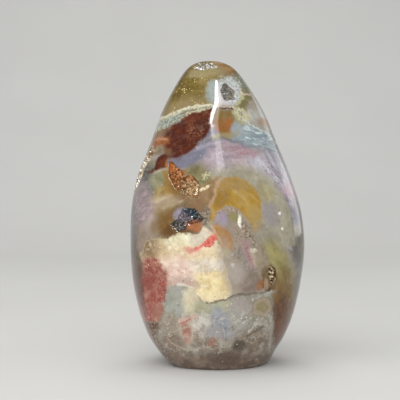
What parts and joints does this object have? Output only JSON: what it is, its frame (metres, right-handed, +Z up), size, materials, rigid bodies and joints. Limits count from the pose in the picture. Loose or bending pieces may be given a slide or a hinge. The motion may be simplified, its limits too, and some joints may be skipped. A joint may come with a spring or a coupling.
{
  "type": "ocean jasper freeform",
  "caption": "Polished flame-shaped freeform of ocean jasper that stands on a flat foot, with druzy quartz crusts in shallow hollows.",
  "frame": {"origin": "middle of the flat foot, at the bottom of the part's box", "axes": "+Z up through the tip, +X to the right seen from the front, -Y to the front, the face with the ridge"},
  "size_m": [0.064, 0.0502, 0.11],
  "materials": {
    "jasper": "high polish, multicoloured orbicular chalcedony",
    "druzy_pale": "sparkling cream-white quartz points",
    "druzy_grey": "sparkling grey quartz points in a lilac-grey ring",
    "druzy_tan": "sparkling tan and brown quartz points",
    "druzy_dark": "dark blue-grey quartz points"
  },
  "bodies": {
    "root": {"stone": "jasper", "druzy_top": "druzy_pale", "druzy_eye": "druzy_grey", "druzy_left_edge": "druzy_pale", "druzy_centre": "druzy_tan", "druzy_dark": "druzy_dark", "druzy_right": "druzy_tan"}
  },
  "joints": []
}
